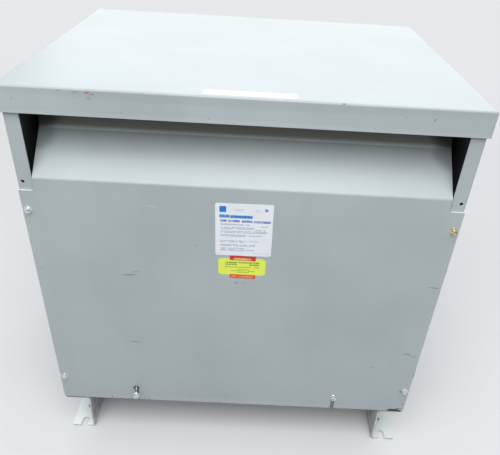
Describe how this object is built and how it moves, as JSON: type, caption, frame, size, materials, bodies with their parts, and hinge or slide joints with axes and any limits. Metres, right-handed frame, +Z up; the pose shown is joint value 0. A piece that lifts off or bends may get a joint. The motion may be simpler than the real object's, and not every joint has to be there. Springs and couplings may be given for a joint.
{
  "type": "ventilated dry-type power transformer",
  "caption": "Floor-standing dry-type power transformer: folded grey steel case with a pan lid, sloped air outlets front and rear, channel feet, and a three-leg core with coils inside.",
  "frame": {"origin": "on the ground, under the middle of the case", "axes": "+Z up; -Y is the front, with the label and the loosened bolt; +X is to the right as seen from the front"},
  "size_m": [0.715, 0.568, 0.747],
  "materials": {
    "case_paint": "semi-gloss light grey powder coat",
    "foot_paint": "semi-gloss light grey powder coat, dusty",
    "galvanised": "galvanised steel",
    "core_steel": "stacked core steel under dark varnish",
    "varnished_winding": "brown varnished insulation paper over the windings",
    "insulation_board": "red-brown glass polyester board",
    "pad_rubber": "black moulded rubber",
    "tinned_bar": "tin-plated aluminium bar",
    "zinc_screw": "zinc-plated steel screws",
    "label_film": "printed film labels and white tape"
  },
  "bodies": {
    "root": {"lid": "case_paint", "front_panel": "case_paint", "rear_panel": "case_paint", "side_panel_left": "case_paint", "side_panel_right": "case_paint", "foot_left": "foot_paint", "foot_right": "foot_paint", "base_rail_front": "galvanised", "base_rail_rear": "galvanised", "core_rail_left": "galvanised", "core_rail_right": "galvanised", "core_pad_left_front": "pad_rubber", "core_pad_left_rear": "pad_rubber", "core_pad_right_front": "pad_rubber", "core_pad_right_rear": "pad_rubber", "core_yoke_lower": "core_steel", "core_yoke_upper": "core_steel", "core_leg_left": "core_steel", "core_leg_centre": "core_steel", "core_leg_right": "core_steel", "inner_winding_left": "varnished_winding", "inner_winding_centre": "varnished_winding", "inner_winding_right": "varnished_winding", "outer_winding_left": "varnished_winding", "outer_winding_centre": "varnished_winding", "outer_winding_right": "varnished_winding", "lower_clamp_front": "galvanised", "lower_clamp_rear": "galvanised", "upper_clamp_front": "galvanised", "upper_clamp_rear": "galvanised", "coil_rest_lower_front": "insulation_board", "coil_rest_lower_rear": "insulation_board", "coil_rest_upper_front": "insulation_board", "coil_rest_upper_rear": "insulation_board", "terminal_board_front": "insulation_board", "terminal_board_rear": "insulation_board", "line_terminal_left": "tinned_bar", "line_terminal_centre": "tinned_bar", "line_terminal_right": "tinned_bar", "load_terminal_left": "tinned_bar", "load_terminal_centre": "tinned_bar", "load_terminal_right": "tinned_bar", "neutral_terminal": "tinned_bar"}
  },
  "joints": []
}
